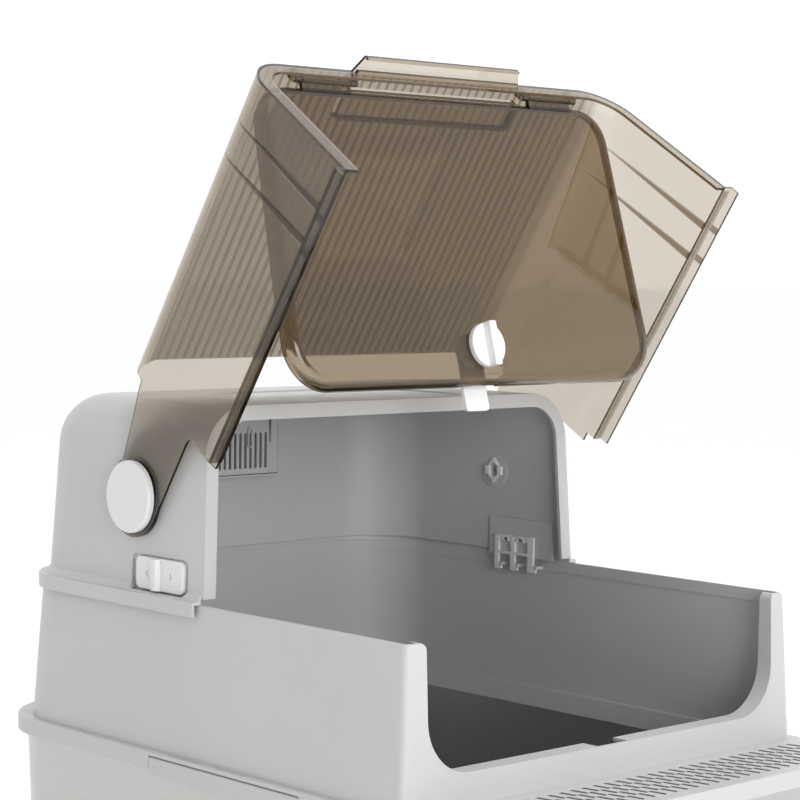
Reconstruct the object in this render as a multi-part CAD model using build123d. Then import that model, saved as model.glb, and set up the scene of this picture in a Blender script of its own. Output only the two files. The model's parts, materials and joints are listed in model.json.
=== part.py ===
from build123d import *
from math import cos, radians, sin, tan
import os

# An enclosed cat litter box: a steel pan, a moulded collar with a U-shaped way in and a slotted
# step, a rear hood, a clear visor that flips up over it, and a clear flap door hung in the visor.
# Millimetres. X is across, +Y points to the back, and Z = 0 is the floor under the middle.

# ---------------------------------------------------------------- driving dimensions
# Footprint, shared by the pan and the collar's foot flange
base_half_width = 212.0
base_half_length = 287.0
base_front_radius = 30.0
base_rear_radius = 70.0
front_bow = 3.0            # how far the middle of each front edge stands forward of its ends

# Steel pan
foot_height = 2.0
foot_diameter = 30.0
foot_inset = 75.0
pan_height = 150.0
pan_wall = 0.9
pan_draft = 2.5            # degrees
pan_floor_radius = 14.0
pan_rim_width = 3.6
pan_rim_height = 3.4
pan_rim_gap = 1.8          # rolled rim to the collar's skirt

# Collar
flange_thickness = 2.7
skirt_depth = 12.7
skirt_wall = 2.0
flange_edge_radius = 1.6
tuck_depth = 14.0          # wall that hangs inside the pan
tuck_wall = 1.8
tuck_gap = 1.2
collar_height = 113.3
collar_side_step = 12.0    # its top edge in from the flange's, at each side
collar_front_step = 83.4
collar_rear_step = 24.3
collar_wall = 2.5
collar_side_draft = 3.0    # degrees
collar_front_draft = 1.8   # degrees
collar_front_radius = 5.0
collar_rear_radius = 62.0
collar_edge_radius = 2.9
band_depth = 9.8           # thicker band round the inside of the collar's top
band_wall = 3.4

# U-shaped way in through the collar's front
post_width = 17.5          # from the way in to the collar's top corner
entry_taper = 1.0          # narrower on each side at the sill
entry_depth = 91.2
entry_radius = 38.0
entry_lip_depth = 8.0
entry_lip_wall = 2.5
post_radius = 6.0
post_crown = 0.5           # the rounding of each post ends just short of level
keeper_gap = 4.0           # in the sill's lip, at each side of the door's tongue

# Slots in the step, that let litter fall back into the pan
step_slot_rows = 4
step_slot_length = 13.0
step_slot_width = 1.9
step_slot_pitch = 11.5
step_slot_row_pitch = 12.2
step_slot_slant = 10.0     # degrees
step_slot_front_margin = 13.0
step_slot_side_margin = 26.0

# Rear hood
hood_front = 19.0
hood_side_inset = 4.0      # its foot in from the collar's top
hood_rear_inset = 5.5
hood_height = 144.5
hood_wall = 2.5
hood_draft = 2.8           # degrees
hood_lean = 2.1            # degrees that the front face leans back
hood_rear_radius = 58.0
hood_top_radius = 39.0
hood_rim_width = 11.0      # inward flange round its front opening
hood_rim_thickness = 3.0
hood_foot_overhang = 5.0
hood_foot_thickness = 2.2
hood_foot_skirt = 8.8
hood_foot_wall = 2.4
hood_foot_step = 4.0       # height of the step inside the foot
hood_foot_cone = 7.5       # height where the sloping foot meets the wall
hood_foot_front_gap = 2.5
dish_half_width = 104.0
dish_front_margin = 7.0
dish_length = 143.0
dish_radius = 64.0
dish_depth = 1.2

# Visor, drawn closed
visor_over_hood = 3.0      # its top above the hood's
visor_wall = 2.2
arm_gap = 1.8              # arm to the hood's side wall
visor_overhang = 25.4      # in front of the collar's top
visor_lap = 12.0           # over the hood's front
visor_top_radius = 37.0
visor_rim_width = 11.5     # inward flange round its front opening
visor_rim_thickness = 2.2
visor_seat_gap = 0.4       # closed visor above the collar
visor_open_angle = 57.0    # degrees, as stored
visor_foot_flare = 8.4
visor_foot_wall = 2.2
visor_foot_skirt = 7.0
arm_lower = 42.0           # above the collar's top
arm_radius = 31.0
handle_half_width = 80.0
handle_flare = 8.0
handle_reach = 13.5
handle_lip = 4.5
pocket_half_width = 90.0
pocket_front_margin = 15.0
pocket_length = 22.0
top_rib_count = 34
top_rib_pitch = 8.6
top_rib_width = 1.3
top_rib_height = 0.5
side_rib_width = 6.0
side_rib_height = 0.7
side_rib_length = 134.0
side_rib_margins = (37.0, 65.0)   # behind the visor's front

# Visor pivot
pivot_setback = 86.0       # behind the hood's front
pivot_height = 73.0        # above the collar's top
pivot_diameter = 14.0
pivot_clearance = 0.05     # radial
pivot_boss_diameter = 30.0
pivot_boss_gap = 0.5
pivot_head_diameter = 21.6
pivot_head_thickness = 2.2
pivot_flange_diameter = 20.0
pivot_flange_thickness = 1.5
arm_disc_gap = 0.4         # flat disc of the arm to the hood's sloping wall
cap_diameter = 55.0
cap_thickness = 5.2
cap_edge_radius = 2.4
cap_seat = 1.6             # arm boss under the cap, proud of the arm

# Flap door, drawn closed
hinge_setback = 5.5        # behind the visor's front
hinge_drop = 10.5          # below the visor's top
hinge_pin_diameter = 2.6
hinge_clearance = 0.05     # radial
knuckle_diameter = 5.4
knuckle_inner = 94.0
knuckle_outer = 141.0
hinge_ear_width = 6.0
hinge_ear_gap = 0.5
door_top_gap = 5.0         # door edge below the hinge axis
door_height = 224.5
door_side_gap = 1.5
door_setback = 1.5         # door face in front of the hinge axis
door_depth = 12.0
door_wall = 2.2
door_face_radius = 8.0
door_top_radius = 30.0
door_bottom_radius = 36.0
door_rest_angle = 42.5     # degrees inward of closed, where its edge meets the finger pocket
door_stop_clearance = 0.3

# Door latch
knob_drop = 200.0          # below the hinge axis
knob_diameter = 34.0
knob_thickness = 4.5
knob_grip_width = 7.0
knob_grip_height = 7.5
spindle_diameter = 10.0
spindle_clearance = 0.1
hub_diameter = 26.0
tongue_width = 24.0
tongue_length = 46.5
tongue_thickness = 2.6
tongue_gap = 0.5           # behind the sill
tongue_notch_depth = 5.0
latch_play = 0.3
screw_diameter = 3.0
screw_head_diameter = 6.0
screw_head_height = 1.8

# Hood latches
pad_front = 24.0           # these three lie behind the hood's front
pad_rear = 82.0
recess_front = 20.0
recess_bottom = 3.0        # above the collar's top
recess_height = 27.0
recess_depth = 3.0
recess_radius = 5.0
pad_margin = 1.2
recess_clearance = 0.5
pad_thickness = 4.2
pad_rib_width = 10.8
pad_rib_height = 3.2
latch_travel = 7.0
prong_diameter = 3.6
prong_clearance = 0.1
prong_places = (47.7, 59.7, 65.6, 76.9)
ring_diameter = 5.8
ring_height = 15.0         # above the collar's top
bracket_thickness = 2.2
bracket_bar = 2.2
leg_places = ((37.5, 44.1), (59.4, 64.4), (79.0, 83.4))
leg_bottom = -12.0         # below the collar's top
hook_length = 3.0
hook_height = 2.4
catch_height = 3.0
catch_gap = 0.4
catch_overhang = 1.0

# Side clips
clip_front = -109.0
clip_rear = 64.0
clip_drop = 5.0            # below the skirt
clip_wall = 2.0
clip_end_gap = 0.6
clip_barrel_diameter = 3.4
clip_pin_diameter = 1.6
clip_pin_clearance = 0.05
clip_pin_length = 12.0
clip_pin_drop = 5.4        # axis below the flange's top
clip_hook_reach = 1.6
clip_hook_height = 2.0
clip_hook_gap = 0.8
clip_hooks = ((7.5, 44.5), (-45.5, -9.6))
clip_end_bevel = 8.0
slot_over_hook_width = 1.0

# Filter in the hood's rear wall
grille_half_width = 52.0
grille_bottom = 68.0       # above the collar's top
grille_top = 120.0
grille_thickness = 2.6
grille_gap = 0.4
grille_slot_pitch = 5.6
grille_slot_width = 2.6
grille_slot_bottom = 73.0
grille_slot_top = 104.0
grille_slot_half_span = 40.0
grille_pin_length = 1.2
grille_corner_radius = 6.0
grille_tab_place = 21.0
grille_tab_width = 5.0
grille_tab_height = 18.0
grille_wedge_place = 44.0
filter_wall = 1.8
filter_box_depth = 13.0
filter_thickness = 8.0
filter_gap = 0.6

# ---------------------------------------------------------------- worked-out places
rim_z = foot_height + pan_height
flange_z = rim_z + flange_thickness
deck_z = flange_z + collar_height
skirt_z = flange_z - skirt_depth

collar_half_width = base_half_width - collar_side_step
collar_front = collar_front_step - base_half_length
collar_rear = base_half_length - collar_rear_step
entry_half_width = collar_half_width - post_width
keeper_half_width = tongue_width / 2 + keeper_gap
step_slot_half_span = base_half_width - step_slot_side_margin

hood_half_width = collar_half_width - hood_side_inset
hood_rear = collar_rear - hood_rear_inset
hood_foot_half_width = collar_half_width + hood_foot_overhang

visor_half_width = hood_half_width + arm_gap + visor_wall
visor_foot_half_width = visor_half_width + visor_foot_flare
visor_height = hood_height + visor_over_hood
visor_front = collar_front - visor_overhang
visor_rear = hood_front + visor_lap

collar_slope = tan(radians(collar_side_draft))
collar_front_slope = tan(radians(collar_front_draft))
hood_slope = tan(radians(hood_draft))
hood_lean_slope = tan(radians(hood_lean))

pan_inset = skirt_wall + pan_rim_gap + pan_rim_width
tuck_inset = pan_inset + pan_wall + tuck_gap

pivot_y = hood_front + pivot_setback
pivot_z = deck_z + pivot_height
visor_top = deck_z + visor_height
hinge_y = visor_front + hinge_setback
hinge_z = visor_top - hinge_drop
door_face_y = hinge_y - door_setback
door_back_y = door_face_y + door_depth
door_top_z = hinge_z - door_top_gap
knob_z = hinge_z - knob_drop
sill_z = deck_z - entry_depth
sill_inner_y = collar_front - front_bow - entry_depth * collar_front_slope + collar_wall
tongue_y = sill_inner_y + tongue_gap

arm_inner_x = hood_half_width + (arm_radius - pivot_height) * hood_slope + arm_disc_gap
arm_outer_x = visor_half_width - pivot_height * hood_slope
boss_outer_x = arm_inner_x - pivot_boss_gap
cap_x = arm_outer_x + cap_seat


# ---------------------------------------------------------------- general helpers
def prism_x(face, start, end):
    """Solid from a face drawn in (Y, Z), between two places along X."""
    return extrude(Plane.YZ.offset(start) * face, end - start)


def prism_y(face, start, end):
    """Solid from a face drawn in (X, Z), between two places along Y."""
    return extrude(Plane.XZ.offset(-end) * face, end - start)


def prism_z(face, start, end):
    """Solid from a face drawn in (X, Y), between two heights."""
    return extrude(Pos(0, 0, start) * face, end - start)


def block(low, high):
    """Box between two corners."""
    size = [b - a for a, b in zip(low, high)]
    middle = [(a + b) / 2 for a, b in zip(low, high)]
    return Pos(*middle) * Box(*size)


def panel(low, high):
    """Rectangle between two corners of a flat drawing."""
    middle = ((low[0] + high[0]) / 2, (low[1] + high[1]) / 2)
    return Pos(*middle) * Rectangle(high[0] - low[0], high[1] - low[1])


def outline(*points):
    """Flat face round straight edges."""
    return make_face(Polyline(*points, close=True))


def rod_x(diameter, start, end, y, z):
    return prism_x(Pos(y, z) * Circle(diameter / 2), start, end)


def rod_y(diameter, start, end, x, z):
    return prism_y(Pos(x, z) * Circle(diameter / 2), start, end)


def both_sides(part):
    return part + mirror(part, about=Plane.YZ)


def turn_x(y, z, degrees):
    """Turn about the line along X through (y, z)."""
    return Pos(0, y, z) * Rot(degrees, 0, 0) * Pos(0, -y, -z)


def plan(half_width, front, rear, front_radius, rear_radius, bow=0.0):
    """Rounded rectangle seen from above, its front edge bowed forward in the middle."""
    if bow:
        front_edge = ThreePointArc((-half_width, front), (0, front - bow), (half_width, front))
    else:
        front_edge = Line((-half_width, front), (half_width, front))
    rest = Polyline((half_width, front), (half_width, rear), (-half_width, rear), (-half_width, front))
    face = make_face(front_edge + rest)
    if front_radius:
        face = fillet(face.vertices().sort_by(Axis.Y)[:2], front_radius)
    return fillet(face.vertices().sort_by(Axis.Y)[-2:], rear_radius)


def tapered(low_face, low_z, high_face, high_z):
    """Solid that runs straight from one face to another above it."""
    return loft([Pos(0, 0, low_z) * low_face, Pos(0, 0, high_z) * high_face], ruled=True)


def top_edges(part):
    return part.faces().sort_by(Axis.Z)[-1].edges()


# ---------------------------------------------------------------- pan
def base_plan(inset=0.0):
    return plan(
        base_half_width - inset,
        front_bow - base_half_length + inset,
        base_half_length - inset,
        base_front_radius - inset,
        base_rear_radius - inset,
        front_bow,
    )


def pan_body(inset, bottom_z, top_z):
    """Drafted tub, its rim set in from the collar's foot flange."""
    draft = (rim_z - bottom_z) * tan(radians(pan_draft))
    body = tapered(base_plan(pan_inset + inset + draft), bottom_z, base_plan(pan_inset + inset), top_z)
    floor_edges = body.faces().sort_by(Axis.Z)[0].edges()
    return fillet(floor_edges, pan_floor_radius - inset)


def make_litter_pan():
    rim = prism_z(base_plan(pan_inset - pan_rim_width), rim_z - pan_rim_height, rim_z)
    rim = fillet(rim.faces().sort_by(Axis.Z)[0].edges(), pan_rim_height / 3)
    rim = fillet(top_edges(rim), pan_rim_height / 3)
    tub = pan_body(0, foot_height, rim_z)
    return rim + tub - pan_body(pan_wall, foot_height + pan_wall, rim_z)


def make_pan_feet():
    x = base_half_width - foot_inset
    y = base_half_length - foot_inset
    foot = Cylinder(foot_diameter / 2, foot_height)
    places = [Pos(sx * x, sy * y, foot_height / 2) for sx in (-1, 1) for sy in (-1, 1)]
    return Compound(children=[place * foot for place in places])


# ---------------------------------------------------------------- collar
def collar_plan(z, inset=0.0):
    drop = deck_z - z
    return plan(
        collar_half_width + drop * collar_slope - inset,
        collar_front - drop * collar_front_slope + inset,
        collar_rear + drop * collar_slope - inset,
        collar_front_radius - inset,
        collar_rear_radius - inset,
        front_bow,
    )


def entry_face(grow=0.0):
    """U-shaped way in, seen from the front, with its mouth rounded out over the posts."""
    half = entry_half_width + grow
    foot = half - entry_taper
    bottom = sill_z - grow
    mouth_top = deck_z + post_crown
    arc_low = mouth_top - post_radius
    body = outline((-half, arc_low), (-foot, bottom), (foot, bottom), (half, arc_low))
    body = fillet(body.vertices().sort_by(Axis.Y)[:2], entry_radius + grow)
    mouth = make_face(
        Polyline((0, arc_low), (0, mouth_top + 5), (half + post_radius, mouth_top + 5), (half + post_radius, mouth_top))
        + RadiusArc((half + post_radius, mouth_top), (half, arc_low), -post_radius)
        + Line((half, arc_low), (0, arc_low))
    )
    return body + mouth + mirror(mouth, about=Plane.YZ)


def step_slots():
    """Rows of short slanting slots, each row shifted by half a pitch."""
    count = int(2 * step_slot_half_span / step_slot_pitch)
    slot = Rot(0, 0, step_slot_slant) * Rectangle(step_slot_width, step_slot_length)
    first_y = step_slot_front_margin - base_half_length + step_slot_length / 2
    faces = []
    for row in range(step_slot_rows):
        shift = (row % 2 - 0.5) * step_slot_pitch / 2
        for index in range(count):
            x = (index - (count - 1) / 2) * step_slot_pitch + shift
            faces.append(Pos(x, first_y + row * step_slot_row_pitch) * slot)
    return prism_z(Sketch() + faces, rim_z - 1, flange_z + 1)


def clip_cutout():
    """Gap in the left skirt that a clip fills, with slots in the flange over its hooks."""
    skirt_x = -base_half_width
    gap = block(
        (skirt_x - 1, clip_front, skirt_z - 1),
        (skirt_x + skirt_wall + pan_rim_gap, clip_rear, rim_z),
    )
    slot_x = skirt_x + skirt_wall + pan_rim_gap / 2
    for start, end in clip_hooks:
        gap += block((slot_x, start, rim_z - 1), (slot_x + slot_over_hook_width, end, flange_z + 1))
    return gap


def clip_pin_bores(diameter):
    """Bores for the left clip's two pins, centred on the ends of its cut-out."""
    half = clip_pin_length / 2
    x = -base_half_width + clip_barrel_diameter / 2
    z = flange_z - clip_pin_drop
    return [rod_y(diameter, place - half, place + half, x, z) for place in (clip_front, clip_rear)]


def clip_lugs():
    """Blocks at both ends of the left cut-out that hold the clip's pins."""
    low_x = -base_half_width
    high_x = low_x + clip_barrel_diameter
    half = clip_pin_length / 2 + 1
    low_z = flange_z - clip_pin_drop - clip_barrel_diameter / 2
    front = block((low_x, clip_front - half, low_z), (high_x, clip_front, rim_z))
    rear = block((low_x, clip_rear, low_z), (high_x, clip_rear + half, rim_z))
    return front + rear


def hood_catches():
    """Lugs on the band's inside that hold down a hood latch's hooks until it slides back."""
    face_x = bracket_face_x() - bracket_thickness
    top = deck_z + leg_bottom + hook_height + catch_gap + catch_height
    lugs = []
    for start, _ in leg_places:
        front = hood_front + start - hook_length - catch_overhang
        rear = hood_front + start - catch_gap
        lugs.append(block(
            (face_x, front, top - catch_height),
            (collar_half_width - band_wall / 2, rear, top),
        ))
    return Part() + lugs


def make_lower_collar():
    outer = tapered(collar_plan(rim_z), rim_z, collar_plan(deck_z), deck_z)
    outer = fillet(top_edges(outer), collar_edge_radius)
    flange = prism_z(base_plan(), skirt_z, flange_z)
    flange = fillet(top_edges(flange), flange_edge_radius)
    flange -= prism_z(base_plan(skirt_wall), skirt_z - 1, rim_z)
    band_z = deck_z - band_depth
    hollow = tapered(collar_plan(rim_z, collar_wall), rim_z, collar_plan(band_z, collar_wall), band_z)
    hollow += tapered(collar_plan(band_z, band_wall), band_z, collar_plan(deck_z, band_wall), deck_z)
    tuck_half_width = base_half_width - tuck_inset - tuck_wall
    wall_front = collar_front - (deck_z - rim_z) * collar_front_slope + collar_wall
    wall_rear = collar_rear + (deck_z - rim_z) * collar_slope - collar_wall
    mouth = plan(
        tuck_half_width,
        wall_front,
        wall_rear,
        collar_front_radius,
        collar_rear_radius - collar_wall,
        front_bow,
    )
    foot = outer + flange - prism_z(mouth, rim_z - 1, flange_z)
    tuck = base_plan(tuck_inset) - base_plan(tuck_inset + tuck_wall)
    foot += prism_z(tuck, rim_z - tuck_depth, rim_z)
    hollow_above_flange = hollow & block(
        (-base_half_width, -base_half_length, flange_z),
        (base_half_width, base_half_length, deck_z + 1),
    )
    collar = foot - hollow_above_flange
    lip_rear = collar_front + collar_wall + entry_lip_depth
    collar += prism_y(entry_face(entry_lip_wall), collar_front - 20, lip_rear) & outer
    collar -= prism_y(entry_face(), collar_front - 20, lip_rear + 1)
    collar -= block(
        (-keeper_half_width, sill_inner_y, sill_z - entry_lip_wall - 1),
        (keeper_half_width, lip_rear + 1, sill_z + 1),
    )
    collar -= step_slots()
    collar = collar - both_sides(clip_cutout()) + both_sides(clip_lugs() + hood_catches())
    return collar - [both_sides(bore) for bore in clip_pin_bores(clip_pin_diameter)]


# ---------------------------------------------------------------- side clips, drawn on the left
def make_side_clip():
    """Clip hung on two pins in the skirt, with hooks under the pan's rim."""
    front = clip_front + clip_end_gap
    rear = clip_rear - clip_end_gap
    x = -base_half_width
    axis_z = flange_z - clip_pin_drop
    bottom = skirt_z - clip_drop
    radius = clip_barrel_diameter / 2
    barrel = rod_y(clip_barrel_diameter, front, rear, x + radius, axis_z)
    side_view = outline(
        (front, bottom),
        (rear - clip_end_bevel, bottom),
        (rear, skirt_z),
        (rear, axis_z),
        (front, axis_z),
    )
    clip = barrel + prism_x(side_view, x, x + clip_wall)
    hook_top = rim_z - pan_rim_height - clip_hook_gap
    rim_x = x + skirt_wall + pan_rim_gap
    for start, end in clip_hooks:
        hook = outline(
            (x + clip_wall / 2, hook_top),
            (rim_x + clip_hook_reach, hook_top),
            (rim_x + clip_hook_reach, hook_top - clip_hook_height / 2),
            (x + clip_wall / 2, hook_top - 2 * clip_hook_height),
        )
        clip += prism_y(hook, start, end)
    return clip - clip_pin_bores(clip_pin_diameter + 2 * clip_pin_clearance)


def make_clip_pins():
    return Compound(children=clip_pin_bores(clip_pin_diameter))


# ---------------------------------------------------------------- hood
def hood_plan(height, inset=0.0, front_inset=None):
    """Outline of the hood at a height above the collar's top."""
    front_inset = inset if front_inset is None else front_inset
    return plan(
        hood_half_width - height * hood_slope - inset,
        hood_front + height * hood_lean_slope + front_inset,
        hood_rear - height * hood_slope - inset,
        0,
        hood_rear_radius - inset,
    )


def hood_form(inset, front_inset, foot, height):
    """Drafted hood with large radii along its sides and back, and a flat front."""
    form = tapered(
        hood_plan(foot, inset, front_inset), deck_z + foot, hood_plan(height, inset, front_inset), deck_z + height
    )
    return fillet(top_edges(form).sort_by(Axis.Y)[1:], hood_top_radius - inset)


def hood_opening():
    low = hood_half_width - hood_rim_width
    top = hood_height - hood_rim_width
    high = low - top * hood_slope
    face = outline((-low, deck_z - 1), (-high, deck_z + top), (high, deck_z + top), (low, deck_z - 1))
    face = fillet(face.vertices().sort_by(Axis.Y)[-2:], hood_top_radius - hood_rim_width)
    reach = hood_height * hood_lean_slope + hood_rim_thickness
    return prism_y(face, hood_front - 2, hood_front + reach + 2)


def hood_foot():
    """Foot that sits on the collar's top, with a skirt outside it and a slope up to the wall."""
    flare = hood_foot_half_width - hood_half_width

    def foot_plan(inset, reach=0.0):
        return plan(
            hood_foot_half_width - inset,
            hood_front + hood_foot_front_gap - reach,
            hood_rear + flare - inset,
            0,
            hood_rear_radius + flare - inset,
        )

    top = deck_z + hood_foot_thickness
    plate = prism_z(foot_plan(0), deck_z - hood_foot_skirt, top)
    plate = fillet(top_edges(plate).sort_by(Axis.Y)[1:], 1.0)
    plate -= prism_z(foot_plan(hood_foot_wall, 10), deck_z - hood_foot_skirt - 1, deck_z)
    cone = tapered(
        foot_plan(flare / 2), top, foot_plan(flare + hood_foot_cone * hood_slope), deck_z + hood_foot_cone
    )
    return plate + cone


def bracket_face_x():
    """Inner face of the hood wall behind a latch recess, on the right."""
    return hood_half_width - recess_depth - hood_wall


def latch_recess():
    """Recess in the right wall of the hood for a latch pad, and the wall behind it."""
    low_y = hood_front + recess_front
    high_y = hood_front + pad_rear + latch_travel + recess_clearance
    low_z = deck_z + recess_bottom
    high_z = low_z + recess_height
    outer_x = hood_half_width + 5
    floor_x = hood_half_width - recess_depth
    seat = fillet(panel((low_y, low_z), (high_y, high_z)).vertices(), recess_radius)
    pocket = prism_x(seat, floor_x, outer_x)
    around = panel((low_y - hood_wall, deck_z), (high_y + hood_wall, high_z + hood_wall))
    backing = prism_x(around, bracket_face_x(), floor_x + 1)
    slots = []
    for place in prong_places:
        slot = SlotCenterToCenter(latch_travel, prong_diameter + 2 * prong_clearance)
        slot = Pos(hood_front + place + latch_travel / 2, deck_z + ring_height) * slot
        slots.append(prism_x(slot, bracket_face_x() - 1, floor_x + 1))
    return backing, pocket, Part() + slots


def filter_box():
    """Frame on the hood's rear wall that holds the filter, and vents through the wall."""
    inner_y = hood_rear - grille_top * hood_slope - hood_wall
    side = grille_half_width + grille_gap
    low = deck_z + grille_bottom - grille_gap
    high = deck_z + grille_top + grille_gap
    front = inner_y - filter_box_depth
    outside = block(
        (-side - filter_wall, front, low - filter_wall),
        (side + filter_wall, inner_y + hood_wall, high + filter_wall),
    )
    inside = block((-side, front - 1, low), (side, inner_y, high))
    vents = []
    count = int(2 * grille_slot_half_span / grille_slot_pitch) + 1
    for index in range(count):
        x = (index - (count - 1) / 2) * grille_slot_pitch
        vents.append(block(
            (x - grille_slot_width / 2, inner_y - 1, deck_z + grille_slot_bottom),
            (x + grille_slot_width / 2, hood_rear + 5, deck_z + grille_slot_top),
        ))
    return outside, inside, Part() + vents


def grille_axis():
    """Y and Z of the grille's hinge line: its rounded lower edge, inside the filter box."""
    inner_y = hood_rear - grille_top * hood_slope - hood_wall
    y = inner_y - filter_box_depth + grille_thickness / 2
    z = deck_z + grille_bottom + grille_thickness / 2
    return y, z


def make_rear_hood():
    outer = hood_form(0, 0, 0, hood_height)
    solid = outer + hood_foot()
    foot_inset_width = hood_half_width - (collar_half_width - band_wall) - 0.1
    room = hood_form(hood_wall, hood_rim_thickness, hood_foot_step, hood_height - hood_wall)
    foot_room = tapered(
        hood_plan(0, foot_inset_width, -5), deck_z, hood_plan(0, foot_inset_width, -5), deck_z + hood_foot_step
    )
    hood = solid - room - foot_room - hood_opening()
    backing, pocket, slots = latch_recess()
    hood = hood + both_sides(backing & (outer + hood_foot())) - both_sides(pocket) - both_sides(slots)
    box, space, vents = filter_box()
    hood = hood + (box & outer) - space - vents
    axis_y, axis_z = grille_axis()
    side = grille_half_width + grille_gap
    peg_bore = grille_thickness + 2 * hinge_clearance
    hood -= rod_x(peg_bore, -side - grille_pin_length, side + grille_pin_length, axis_y, axis_z)
    boss = rod_x(
        pivot_boss_diameter, boss_outer_x - 2 * hood_wall + 0.5, boss_outer_x, pivot_y, pivot_z
    )
    bore = rod_x(pivot_diameter + 2 * pivot_clearance, boss_outer_x - 9, boss_outer_x + 1, pivot_y, pivot_z)
    hood = hood + both_sides(boss) - both_sides(bore)
    dish_front = hood_front + dish_front_margin
    dish = plan(dish_half_width, dish_front, dish_front + dish_length, dish_radius, dish_radius)
    top = deck_z + hood_height
    return hood - tapered(offset(dish, -dish_depth), top - dish_depth, dish, top)


# ---------------------------------------------------------------- hood latches, drawn on the right
def make_latch_pad():
    low_y = hood_front + pad_front
    high_y = hood_front + pad_rear
    low_z = deck_z + recess_bottom + pad_margin
    high_z = deck_z + recess_bottom + recess_height - pad_margin
    base_x = hood_half_width - recess_depth + 0.1
    top_x = base_x + pad_thickness
    face = fillet(panel((low_y, low_z), (high_y, high_z)).vertices(), recess_radius)
    pad = prism_x(face, base_x, top_x)
    pad = fillet(pad.faces().sort_by(Axis.X)[-1].edges(), 1.2)
    middle = (low_y + high_y) / 2 + 3
    ridge = outline(
        (top_x - 1, middle - pad_rib_width / 2),
        (top_x + pad_rib_height, middle - pad_rib_width / 4),
        (top_x + pad_rib_height, middle + pad_rib_width / 4),
        (top_x - 1, middle + pad_rib_width / 2),
    )
    pad += prism_z(ridge, low_z + 0.4, high_z - 0.4)
    prong_end = bracket_face_x() - bracket_thickness + 0.6
    for place in prong_places:
        pad += rod_x(prong_diameter, prong_end, base_x + 1, hood_front + place, deck_z + ring_height)
    return pad


def make_latch_bracket():
    """Three-legged frame inside the hood, snapped on the pad's prongs, with a hook on each leg."""
    outer_x = bracket_face_x() - 0.1
    inner_x = outer_x - bracket_thickness
    top = deck_z + ring_height + ring_diameter / 2
    low_y = hood_front + leg_places[0][0]
    high_y = hood_front + leg_places[-1][1]
    frame = panel((low_y, top - bracket_bar), (high_y, top))
    frame += panel((low_y, deck_z + 1.5), (high_y, deck_z + 1.5 + bracket_bar))
    bottom = deck_z + leg_bottom
    for start, end in leg_places:
        frame += panel((hood_front + start, bottom), (hood_front + end, top))
        hook = hood_front + start - hook_length
        frame += panel((hook, bottom), (hood_front + end, bottom + hook_height))
    rings = [Pos(hood_front + place, deck_z + ring_height) * Circle(ring_diameter / 2) for place in prong_places]
    frame += rings
    bore = Circle(prong_diameter / 2)
    frame -= [Pos(hood_front + place, deck_z + ring_height) * bore for place in prong_places]
    return prism_x(frame, inner_x, outer_x)


# ---------------------------------------------------------------- filter
def make_filter_grille():
    """Slotted cover that tips forward on two pegs at its lower corners."""
    axis_y, axis_z = grille_axis()
    high = deck_z + grille_top
    front = axis_y - grille_thickness / 2
    rear = axis_y + grille_thickness / 2
    face = panel((-grille_half_width, axis_z), (grille_half_width, high))
    face = fillet(face.vertices().sort_by(Axis.Y)[-2:], grille_corner_radius)
    grille = prism_y(face, front, rear)
    peg_reach = grille_half_width + grille_gap + grille_pin_length - 0.2
    grille += rod_x(grille_thickness, -grille_half_width, grille_half_width, axis_y, axis_z)
    grille += rod_x(grille_thickness, -peg_reach, peg_reach, axis_y, axis_z)
    count = int(2 * grille_slot_half_span / grille_slot_pitch) + 1
    slot = SlotOverall(grille_slot_top - grille_slot_bottom, grille_slot_width, rotation=90)
    slot_z = deck_z + (grille_slot_bottom + grille_slot_top) / 2
    slots = [Pos((i - (count - 1) / 2) * grille_slot_pitch, slot_z) * slot for i in range(count)]
    grille -= prism_y(Sketch() + slots, front - 1, rear + 1)
    wedge_top = high - 4
    wedge = outline(
        (grille_wedge_place - 0.5, deck_z + grille_slot_top - grille_tab_height / 2),
        (grille_wedge_place + 0.5, deck_z + grille_slot_top - grille_tab_height / 2),
        (grille_wedge_place + 1.5, wedge_top),
        (grille_wedge_place - 1.5, wedge_top),
    )
    grille -= both_sides(prism_y(wedge, front - 1, rear + 1))
    tab = SlotOverall(grille_tab_height, grille_tab_width, rotation=90)
    tab -= SlotOverall(grille_tab_height - 2.4, grille_tab_width - 2.4, rotation=90)
    tab = prism_y(Pos(grille_tab_place, deck_z + grille_slot_top - 4) * tab, front - 1.5, front + 1)
    return grille + both_sides(tab)


def make_filter_pad():
    inner_y = hood_rear - grille_top * hood_slope - hood_wall
    side = grille_half_width - filter_gap
    rear = inner_y - filter_gap / 2
    return block(
        (-side, rear - filter_thickness, deck_z + grille_bottom + filter_gap),
        (side, rear, deck_z + grille_top - filter_gap),
    )


# ---------------------------------------------------------------- visor, drawn closed
def visor_section(inset):
    """Front view of the visor: drafted sides and a flat top."""
    top_inset = max(inset, 0)
    foot = deck_z + visor_seat_gap - (1 if inset > 0 else 0)
    low = visor_half_width - inset
    high = low - (visor_height - top_inset) * hood_slope
    top = visor_top - top_inset
    face = outline((-low, foot), (-high, top), (high, top), (low, foot))
    return fillet(face.vertices().sort_by(Axis.Y)[-2:], visor_top_radius - inset)


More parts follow.
